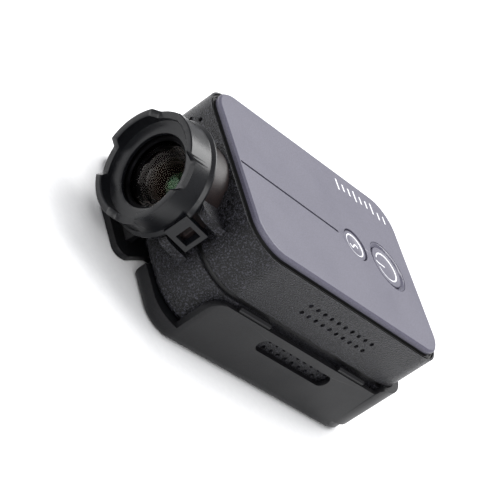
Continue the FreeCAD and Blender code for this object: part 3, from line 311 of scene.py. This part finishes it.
# ---- settings ---------------------------------------------------------------------------------
def colour_property(name, description, code):
    """Colour setting whose default is an sRGB hex code."""
    return FloatVectorProperty(name=name, description=description, default=linear(code), subtype="COLOR",
                               size=4, min=0.0, max=1.0)


class PocketCameraSettings(bpy.types.PropertyGroup):
    """Sizes and colours that a user would change."""
    shell_dark: colour_property("Shell dark", "Pits of the shells' texture", "0a0a0b")
    # Painted sparkle: the light tone of the shells' flecks.
    shell_painted_sparkle: colour_property("Shell light", "Facets of the shells' texture", "42424a")
    plate_dark: colour_property("Plate dark", "Dark tone of the top plate", "4a4856")
    plate_light: colour_property("Plate light", "Light tone of the top plate", "5a5868")
    cradle_dark: colour_property("Cradle dark", "Dark tone of the cradle", "070708")
    cradle_light: colour_property("Cradle light", "Light tone of the cradle", "161619")
    hood_dark: colour_property("Hood dark", "Dark tone of the lens hood", "08090b")
    hood_light: colour_property("Hood light", "Light tone of the lens hood", "0f1014")
    ink: colour_property("Ink", "Colour of the printed marks", "f2f2f6")
    floor_colour: colour_property("Floor", "Colour of the studio floor", "f6f6f7")
    edge_round: FloatProperty(name="Edge rounding", description="Rounding of the moulded edges",
                              default=0.12 * MM, min=0.02 * MM, max=0.4 * MM, unit="LENGTH", precision=5)
    mark_line: FloatProperty(name="Mark line", description="Width of the printed lines",
                             default=0.3 * MM, min=0.1 * MM, max=1.0 * MM, unit="LENGTH", precision=5)
    key_power: FloatProperty(name="Key light", description="Power of the main softbox", default=5.0,
                             min=0.0, unit="POWER")
    world_strength: FloatProperty(name="Ambient light", description="Strength of the light from all round",
                                  default=0.62, min=0.0)


def settings():
    """The scene's own sizes and colours."""
    return bpy.context.scene.pocket_camera


# ---- mesh helpers -----------------------------------------------------------------------------
def dress(name, material):
    """Gives a CAD node its material in every slot."""
    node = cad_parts[name]
    if not node.data.materials:
        node.data.materials.append(material)
    for index in range(len(node.data.materials)):
        node.data.materials[index] = material
    return node


def soften(node, width):
    """Rounds a node's sharp edges with a bevel, and evens the shading of its flats."""
    weld = node.modifiers.new("weld", "WELD")
    weld.merge_threshold = WELD_GAP
    bevel = node.modifiers.new("edge", "BEVEL")
    bevel.width = width
    bevel.segments = 2
    bevel.limit_method = "ANGLE"
    bevel.angle_limit = SHARP_EDGE
    bevel.harden_normals = True
    bevel.use_clamp_overlap = True
    even = node.modifiers.new("even", "WEIGHTED_NORMAL")
    even.mode = "FACE_AREA"
    even.weight = 100
    for polygon in node.data.polygons:
        polygon.use_smooth = True


def new_piece(name, mesh_data, material, body):
    """Makes an object from a bmesh, gives it its finish and lets it ride on a body."""
    mesh = bpy.data.meshes.new(name)
    mesh_data.to_mesh(mesh)
    mesh_data.free()
    piece = bpy.data.objects.new(name, mesh)
    bpy.context.scene.collection.objects.link(piece)
    mesh.materials.append(material)
    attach(piece, body)
    return piece


def print_line(mesh_data, path, width, height_at, film):
    """Flat printed line along (x, y) points, a film thick over the surface given by height_at."""
    rows = []
    for index, point in enumerate(path):
        before = Vector(path[max(index - 1, 0)])
        after = Vector(path[min(index + 1, len(path) - 1)])
        along = (after - before).normalized()
        across = Vector((-along.y, along.x)) * width / 2
        corners = [Vector(point) - across, Vector(point) + across]
        row = [mesh_data.verts.new((corner.x, corner.y, height_at(corner) + lift))
               for lift in (0.0, film) for corner in corners]
        rows.append(row)
    for low, high in zip(rows, rows[1:]):
        for a, b in ((0, 1), (1, 3), (3, 2), (2, 0)):
            mesh_data.faces.new((low[a], low[b], high[b], high[a]))
    for end in (rows[0], rows[-1]):
        mesh_data.faces.new((end[0], end[1], end[3], end[2]))


def arc(centre, radius, start, end, steps=40):
    """Points along an arc about an (x, y) centre, angles in degrees."""
    angles = [math.radians(start + (end - start) * step / steps) for step in range(steps + 1)]
    return [(centre[0] + radius * math.cos(angle), centre[1] + radius * math.sin(angle)) for angle in angles]


def cap_surface(name):
    """Centre, radius and a height function of a button's dished cap, from the mesh itself."""
    low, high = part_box(name)
    centre = Vector(((low.x + high.x) / 2, (low.y + high.y) / 2))
    radius = (high.x - low.x) / 2
    places = [vertex.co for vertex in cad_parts[name].data.vertices if vertex.co.z > high.z - CAP_DEPTH]
    rings = sorted({(round((Vector((p.x, p.y)) - centre).length / MM, 2), round(p.z / MM, 3))
                    for p in places})

    def height_at(point):
        reach = (point - centre).length / MM
        for (r0, z0), (r1, z1) in zip(rings, rings[1:]):
            if r0 <= reach <= r1 and r1 > r0:
                return (z0 + (z1 - z0) * (reach - r0) / (r1 - r0) + CAP_LIFT_MM) * MM
        return high.z

    return centre, radius, height_at


# ---- operators --------------------------------------------------------------------------------
class FINISH_OT_casing(bpy.types.Operator):
    """Finish the shells, top plate, seal and middle plate"""
    bl_idname = "pocket_camera.casing"
    bl_label = "Casing"

    def execute(self, context):
        values = settings()
        # The shells' colour carries painted sparkle in its light flecks.
        shell = spark_eroded_abs_painted_sparkle("spark_eroded_abs_painted_sparkle", values.shell_dark, values.shell_painted_sparkle, 0.24, 0.11)
        for name in ("upper_shell", "lower_shell"):
            dress(name, shell)
        plate = moulded_abs("satin_moulded_abs", values.plate_dark, values.plate_light, 0.25, 0.004, 0.42)
        soften(dress("top_plate", plate), values.edge_round)
        silicone = moulded_abs("moulded_silicone", linear("050505"), linear("0b0b0c"), 0.3, 0.004, 0.6)
        dress("top_seal", silicone)
        dark = moulded_abs("matt_black_abs", linear("040404"), linear("0a0a0b"), 0.25, 0.01, 0.6)
        for name in ("seam_chassis", "lens_holder", "battery_contacts", "speaker", "light_bar"):
            dress(name, dark)
        return {"FINISHED"}


class FINISH_OT_cradle(bpy.types.Operator):
    """Finish the cradle, its release tab and the tripod insert"""
    bl_idname = "pocket_camera.cradle"
    bl_label = "Cradle"

    def execute(self, context):
        values = settings()
        satin = moulded_abs("cradle_moulded_abs", values.cradle_dark, values.cradle_light,
                            0.22, 0.02, 0.44, 0.22)
        for name in ("cradle", "release_tab", "battery_cap"):
            soften(dress(name, satin), values.edge_round)
        brass = turned_metal("turned_brass", linear("a57a34"), linear("c79b52"), 0.3, 0.12)
        dress("tripod_insert", brass)
        add_thread(brass)
        return {"FINISHED"}


def add_thread(brass):
    """Helical crests in the tripod insert."""
    low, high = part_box("tripod_insert")
    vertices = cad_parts["tripod_insert"].data.vertices
    inner = min(math.hypot(vertex.co.x, vertex.co.y) for vertex in vertices)
    pitch = INCH / TURNS_PER_INCH
    turns = (high.z - low.z - pitch) / pitch
    steps = int(STEPS_PER_TURN * turns)
    mesh_data = bmesh.new()
    rows = []
    for step in range(steps + 1):
        angle = 2 * math.pi * turns * step / steps
        z = low.z + pitch / 2 + pitch * turns * step / steps
        row = []
        for reach, rise in ((inner, -FLANK * pitch), (inner - CREST_HEIGHT, 0.0), (inner, FLANK * pitch)):
            row.append(mesh_data.verts.new((reach * math.cos(angle), reach * math.sin(angle), z + rise)))
        rows.append(row)
    for one, two in zip(rows, rows[1:]):
        for a, b in ((0, 1), (1, 2), (2, 0)):
            mesh_data.faces.new((one[a], one[b], two[b], two[a]))
    mesh_data.faces.new(rows[0])
    mesh_data.faces.new(list(reversed(rows[-1])))
    new_piece("insert_thread", mesh_data, brass, "cradle")


class FINISH_OT_lens(bpy.types.Operator):
    """Finish the lens, its housing and the hood"""
    bl_idname = "pocket_camera.lens"
    bl_label = "Lens and hood"

    def execute(self, context):
        values = settings()
        hood = moulded_abs("hood_moulded_abs", values.hood_dark, values.hood_light, 0.25, 0.002, 0.3, 0.3)
        soften(dress("lens_hood", hood), values.edge_round)
        housing = moulded_abs("fine_textured_abs", linear("121012"), linear("2c2220"), 0.22, 0.02, 0.4, 0.3)
        soften(dress("lens_housing", housing), values.edge_round)
        anodised = blasted_anodised("black_anodised_aluminium", linear("080809"), linear("0e0e10"))
        for name in ("lens_barrel", "lens_retainer", "lens_stop"):
            dress(name, anodised)
        glasses = {
            "front_glass": coated_glass("coated_front_glass", linear("e8ecea"), linear("c8a890"), 1.17),
            "second_glass": coated_glass("green_coated_glass", linear("a8c8a0"), linear("58c070"), 1.4),
            "rear_glass": coated_glass("magenta_coated_glass", linear("f0b8d0"), linear("ff4f80"), 1.6),
            "infrared_filter": coated_glass("infrared_filter_glass", linear("c2e2e8"), linear("e08090"), 1.5),
        }
        for name, glass in glasses.items():
            soften(dress(name, glass), 0.25 * values.edge_round)
        silicon = turned_metal("image_sensor_silicon", linear("1a1426"), linear("2c2438"), 0.2, 0.3)
        dress("image_sensor", silicon)
        return {"FINISHED"}


class FINISH_OT_buttons(bpy.types.Operator):
    """Finish the two buttons with their marks, the ring and the status light"""
    bl_idname = "pocket_camera.buttons"
    bl_label = "Buttons"

    def execute(self, context):
        values = settings()
        keys = moulded_abs("button_moulded_abs", values.plate_dark, values.plate_light, 0.25, 0.004, 0.4)
        for name in ("power_button", "mode_button"):
            soften(dress(name, keys), 0.5 * values.edge_round)
        bezel = moulded_abs("glossy_abs", values.plate_dark, values.plate_light, 0.3, 0.001, 0.2)
        soften(dress("power_bezel", bezel), 0.5 * values.edge_round)
        chip = moulded_abs("light_chip_epoxy", linear("c8c49a"), linear("e6e2c0"), 0.3, 0.004, 0.25)
        dress("status_light", chip)
        ink = pad_printed_ink("pad_printed_ink", linear("c8c8ce"), values.ink)
        add_power_mark(ink, values.mark_line)
        add_mode_mark(ink, values.mark_line)
        add_plate_mark(ink, values.mark_line)
        return {"FINISHED"}


def add_power_mark(ink, width):
    """Ring with a gap, and a bar through the gap, on the power button."""
    centre, radius, height_at = cap_surface("power_button")
    mesh_data = bmesh.new()
    print_line(mesh_data, arc(centre, 0.70 * radius, -68, 248), width, height_at, INK_FILM)
    bar = [(centre.x, centre.y - reach * radius / 20) for reach in range(1, 17)]
    print_line(mesh_data, bar, width, height_at, INK_FILM)
    new_piece("power_mark", mesh_data, ink, "power_key")


def add_mode_mark(ink, width):
    """Ring with a wave across it on the mode button."""
    centre, radius, height_at = cap_surface("mode_button")
    mesh_data = bmesh.new()
    print_line(mesh_data, arc(centre, 0.74 * radius, 0, 360, 48), 0.8 * width, height_at, INK_FILM)
    wave = [(centre.x + radius * 0.16 * math.sin(math.pi * step / 12),
             centre.y + radius * (step / 24 - 0.5) * 0.8) for step in range(25)]
    print_line(mesh_data, wave, width, height_at, INK_FILM)
    new_piece("mode_mark", mesh_data, ink, "mode_key")


def add_plate_mark(ink, width):
    """A row of plain bars beside the buttons, where such a camera carries its printed caption."""
    low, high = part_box("top_plate")
    top = high.z
    mesh_data = bmesh.new()
    start = Vector((low.x + BARS_FROM_SIDE * MM, high.y - BARS_FROM_REAR * MM))
    for index in range(BAR_COUNT):
        half = (SHORT_BAR_HALF if index % 3 else LONG_BAR_HALF) * MM
        y = start.y + index * BAR_PITCH * MM
        middle = start.x + BARS_MIDDLE * MM + (LAST_BARS_SHIFT * MM if index > 6 else 0)
        line = [(middle - half, y), (middle, y), (middle + half, y)]
        print_line(mesh_data, line, 1.4 * width, lambda point: top + PLATE_LIFT, INK_FILM)
    new_piece("plate_mark", mesh_data, ink, "camera")


class FINISH_OT_inside(bpy.types.Operator):
    """Finish the boards, sockets, screws, card and battery"""
    bl_idname = "pocket_camera.inside"
    bl_label = "Inside"

    def execute(self, context):
        board = solder_mask("green_solder_mask", linear("2f7a48"), linear("0d4a2a"))
        for name in ("main_board", "sensor_board", "key_board", "antenna"):
            dress(name, board)
        tin = turned_metal("tinned_steel", linear("8c8c90"), linear("b0b0b4"), 0.32, 0.3)
        for name in ("usb_port", "card_socket", "power_switch", "mode_switch", "microphones"):
            dress(name, tin)
        dress("case_screws", turned_metal("black_zinc_steel", linear("232326"), linear("3a3a3e"), 0.35, 0.1))
        dress("heat_spreader", turned_metal("rolled_aluminium", linear("8e9094"), linear("b4b6ba"), 0.4, 0.2))
        film = moulded_abs("polyimide_film", linear("8a4a10"), linear("b0661c"), 0.4, 0.004, 0.35)
        dress("sensor_ribbon", film)
        epoxy = moulded_abs("moulded_epoxy", linear("0b0b0c"), linear("161618"), 0.3, 0.004, 0.4)
        for name in ("processor", "memory_chip", "memory_card"):
            dress(name, epoxy)
        dress("battery_cell", pouch_foil("pouch_foil", linear("7c7e82"), linear("a9abae")))
        return {"FINISHED"}


class FINISH_OT_stage(bpy.types.Operator):
    """Set the floor, the softboxes and the camera"""
    bl_idname = "pocket_camera.stage"
    bl_label = "Stage"

    def execute(self, context):
        values = settings()
        add_floor(values)
        add_lights(values)
        add_camera()
        return {"FINISHED"}


def add_floor(values):
    """Pale paper floor that the cradle's base rests on."""
    mesh_data = bmesh.new()
    bmesh.ops.create_grid(mesh_data, x_segments=8, y_segments=8, size=FLOOR_HALF)
    mesh = bpy.data.meshes.new("studio_floor")
    mesh_data.to_mesh(mesh)
    mesh_data.free()
    floor = bpy.data.objects.new("studio_floor", mesh)
    bpy.context.scene.collection.objects.link(floor)
    floor.location.z = CAD_BOX[0][2] - FLOOR_GAP
    mesh.materials.append(studio_paper("pale_paper", values.floor_colour))


def add_softbox(name, direction, distance, size, power):
    """Square area light that looks at the object's middle from a direction."""
    light = bpy.data.lights.new(name, "AREA")
    light.shape = "SQUARE"
    light.size = size
    light.energy = power
    lamp = bpy.data.objects.new(name, light)
    lamp.visible_transmission = False
    middle = (Vector(CAD_BOX[0]) + Vector(CAD_BOX[1])) / 2
    lamp.location = middle + Vector(direction).normalized() * distance
    lamp.rotation_euler = (middle - lamp.location).to_track_quat("-Z", "Y").to_euler()
    bpy.context.scene.collection.objects.link(lamp)


def add_lights(values):
    """A big soft key above the far end, a weaker fill from the lens side and a pale world all round."""
    add_softbox("key_softbox", (-0.35, 0.5, 1.0), distance=0.6, size=0.5, power=values.key_power)
    add_softbox("front_softbox", (0.62, -0.74, 0.6), distance=0.7, size=0.45, power=values.key_power * 0.5)
    world = bpy.data.worlds.new("studio_world")
    bpy.context.scene.world = world
    world.use_nodes = True
    background = world.node_tree.nodes["Background"]
    background.inputs["Color"].default_value = linear("f6f7fa")
    background.inputs["Strength"].default_value = values.world_strength
    bpy.context.scene.view_settings.view_transform = "Standard"


AZIMUTH = math.radians(40.208)
ELEVATION = math.radians(20.838)
ROLL = math.radians(55.708)
AIM = Vector((-2.86, -3.93, 9.46)) * MM
DISTANCE = 322.03 * MM
FOCAL_LENGTH = 132.28
SENSOR_WIDTH = 36.0


def add_camera():
    """Long-lens camera, turned about its own axis so that the body runs down the picture."""
    forward = Vector((-math.sin(AZIMUTH) * math.cos(ELEVATION), math.cos(AZIMUTH) * math.cos(ELEVATION),
                      -math.sin(ELEVATION)))
    level = Vector((math.cos(AZIMUTH), math.sin(AZIMUTH), 0))
    upright = level.cross(forward)
    right = level * math.cos(ROLL) + upright * math.sin(ROLL)
    up = right.cross(forward)
    data = bpy.data.cameras.new("studio_camera")
    data.lens = FOCAL_LENGTH
    data.sensor_width = SENSOR_WIDTH
    data.clip_start = 0.01
    camera = bpy.data.objects.new("studio_camera", data)
    turn = Matrix((right, up, -forward)).transposed().to_4x4()
    camera.matrix_world = Matrix.Translation(AIM - forward * DISTANCE) @ turn
    bpy.context.scene.collection.objects.link(camera)
    bpy.context.scene.camera = camera


class FINISH_PT_panel(bpy.types.Panel):
    """Lists the finishes in the sidebar"""
    bl_idname = "FINISH_PT_panel"
    bl_label = "Pocket Camera"
    bl_space_type = "VIEW_3D"
    bl_region_type = "UI"
    bl_category = "Pocket Camera"

    def draw(self, context):
        layout = self.layout
        for operator in OPERATORS:
            layout.operator(operator.bl_idname)
        for name in PocketCameraSettings.__annotations__:
            layout.prop(settings(), name)


OPERATORS = (FINISH_OT_casing, FINISH_OT_cradle, FINISH_OT_lens, FINISH_OT_buttons, FINISH_OT_inside,
             FINISH_OT_stage)
CLASSES = (PocketCameraSettings,) + OPERATORS + (FINISH_PT_panel,)


def register():
    for item in CLASSES:
        bpy.utils.register_class(item)
    bpy.types.Scene.pocket_camera = PointerProperty(type=PocketCameraSettings)


def unregister():
    del bpy.types.Scene.pocket_camera
    for item in reversed(CLASSES):
        bpy.utils.unregister_class(item)


def main():
    """Runs every group's operator in order."""
    register()
    for operator in OPERATORS:
        group, name = operator.bl_idname.split(".")
        getattr(getattr(bpy.ops, group), name)()


if __name__ == "__main__":
    main()
